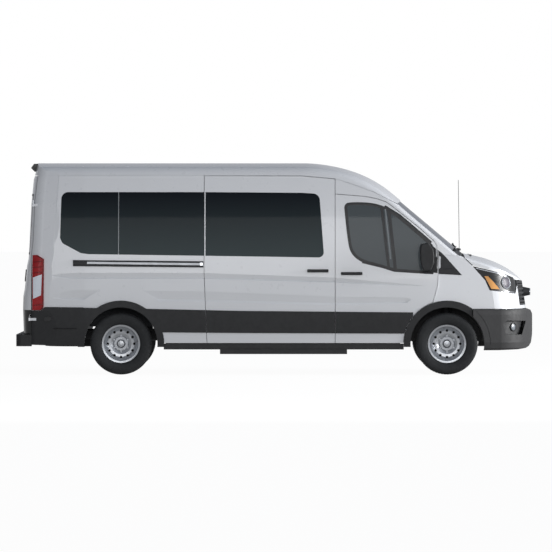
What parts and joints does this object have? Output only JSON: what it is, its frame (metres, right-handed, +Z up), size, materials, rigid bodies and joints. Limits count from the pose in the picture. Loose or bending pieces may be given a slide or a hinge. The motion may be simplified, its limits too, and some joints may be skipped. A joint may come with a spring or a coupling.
{
  "type": "minibus",
  "caption": "Long-wheelbase, medium-roof minibus with a sliding side door, hinged cab and rear doors, lifting bonnet, steered front wheels and seats inside.",
  "frame": {"origin": "on the ground under the middle of the bounding box", "axes": "+X forward, +Z up, the vehicle's right side at -Y"},
  "size_m": [5.982, 2.474, 2.441],
  "materials": {
    "body_paint": "gloss",
    "black_plastic": "grained matt",
    "tinted_glass": "polished",
    "clear_glass": "polished",
    "tyre": "matt",
    "wheel_steel": "satin",
    "clear_lamp": "polished",
    "red_lamp": "gloss",
    "chassis_metal": "satin",
    "seat_cloth": "woven",
    "floor_covering": "matt"
  },
  "bodies": {
    "body": {"antenna": "black_plastic", "body_side_left": "body_paint", "body_side_right": "body_paint", "cab_seats": "seat_cloth", "chassis_frame": "chassis_metal", "dashboard": "black_plastic", "door_track": "black_plastic", "engine_block": "chassis_metal", "exhaust": "chassis_metal", "floor_pan": "floor_covering", "fog_lamps": "clear_lamp", "front_bumper": "black_plastic", "front_fascia": "body_paint", "front_suspension": "chassis_metal", "front_wings": "body_paint", "fuel_tank": "black_plastic", "grille": "black_plastic", "headlamps": "clear_lamp", "high_brake_lamp": "red_lamp", "leaf_springs": "chassis_metal", "passenger_seats": "seat_cloth", "propshaft": "chassis_metal", "rear_axle": "chassis_metal", "rear_bumper": "black_plastic", "roof_panel": "body_paint", "running_board": "black_plastic", "scuttle_panel": "black_plastic", "side_cladding": "black_plastic", "side_glass_left": "tinted_glass", "side_glass_right": "tinted_glass", "sliding_door": "body_paint", "spare_wheel": "tyre", "tail_lamps": "red_lamp", "wheel_liners": "black_plastic", "windscreen": "clear_glass"},
    "bonnet": {"bonnet": "body_paint"},
    "steering_wheel": {"steering_wheel": "black_plastic"},
    "front_door_right": {"front_door_right": "body_paint", "front_door_glass_right": "clear_glass", "front_door_trim_right": "black_plastic"},
    "rear_door_right": {"rear_door_right": "body_paint", "rear_glass_right": "tinted_glass"},
    "knuckle_right": {"knuckle_right": "chassis_metal"},
    "front_wheel_right": {"tyre_front_right": "tyre", "rim_front_right": "wheel_steel"},
    "rear_wheel_right": {"tyre_rear_right": "tyre", "rim_rear_right": "wheel_steel"},
    "front_door_left": {"front_door_left": "body_paint", "front_door_glass_left": "clear_glass", "front_door_trim_left": "black_plastic"},
    "rear_door_left": {"rear_door_left": "body_paint", "rear_glass_left": "tinted_glass"},
    "knuckle_left": {"knuckle_left": "chassis_metal"},
    "front_wheel_left": {"tyre_front_left": "tyre", "rim_front_left": "wheel_steel"},
    "rear_wheel_left": {"tyre_rear_left": "tyre", "rim_rear_left": "wheel_steel"}
  },
  "joints": [
    {"name": "bonnet_hinge", "type": "hinge", "parent": "body", "child": "bonnet", "pos_m": [2.168, 0, 1.387], "axis": [0, -1, 0], "range_deg": [0, 55]},
    {"name": "front_door_right_hinge", "type": "hinge", "parent": "body", "child": "front_door_right", "pos_m": [1.848, -0.99, 1.1], "axis": [0, 0, 1], "range_deg": [0, 68]},
    {"name": "front_door_left_hinge", "type": "hinge", "parent": "body", "child": "front_door_left", "pos_m": [1.848, 0.99, 1.1], "axis": [0, 0, -1], "range_deg": [0, 68]},
    {"name": "rear_door_right_hinge", "type": "hinge", "parent": "body", "child": "rear_door_right", "pos_m": [-2.836, -0.986, 0.657], "axis": [0.0265, 0.106, 0.994], "range_deg": [0, 180]},
    {"name": "rear_door_left_hinge", "type": "hinge", "parent": "body", "child": "rear_door_left", "pos_m": [-2.836, 0.986, 0.657], "axis": [-0.0265, 0.106, -0.994], "range_deg": [0, 180]},
    {"name": "steer_right", "type": "hinge", "parent": "body", "child": "knuckle_right", "pos_m": [1.968, -0.79, 0.356], "axis": [0, 0, 1], "range_deg": [-35, 35]},
    {"name": "steer_left", "type": "hinge", "parent": "body", "child": "knuckle_left", "pos_m": [1.968, 0.79, 0.356], "axis": [0, 0, 1], "range_deg": [-35, 35]},
    {"name": "steering_wheel_turn", "type": "hinge", "parent": "body", "child": "steering_wheel", "pos_m": [1.405, 0.43, 1.225], "axis": [-0.8829, 0, 0.4695], "range_deg": [-560, 560]},
    {"name": "front_wheel_right_spin", "type": "hinge", "parent": "knuckle_right", "child": "front_wheel_right", "pos_m": [1.968, -0.87, 0.356], "axis": [0, 1, 0], "continuous": true},
    {"name": "front_wheel_left_spin", "type": "hinge", "parent": "knuckle_left", "child": "front_wheel_left", "pos_m": [1.968, 0.87, 0.356], "axis": [0, 1, 0], "continuous": true},
    {"name": "rear_wheel_right_spin", "type": "hinge", "parent": "body", "child": "rear_wheel_right", "pos_m": [-1.782, -0.87, 0.356], "axis": [0, 1, 0], "continuous": true},
    {"name": "rear_wheel_left_spin", "type": "hinge", "parent": "body", "child": "rear_wheel_left", "pos_m": [-1.782, 0.87, 0.356], "axis": [0, 1, 0], "continuous": true}
  ],
  "couplings": [
    {"joint": "steer_left", "follows": "steer_right", "ratio": 1},
    {"joint": "steering_wheel_turn", "follows": "steer_right", "ratio": 15.5}
  ]
}
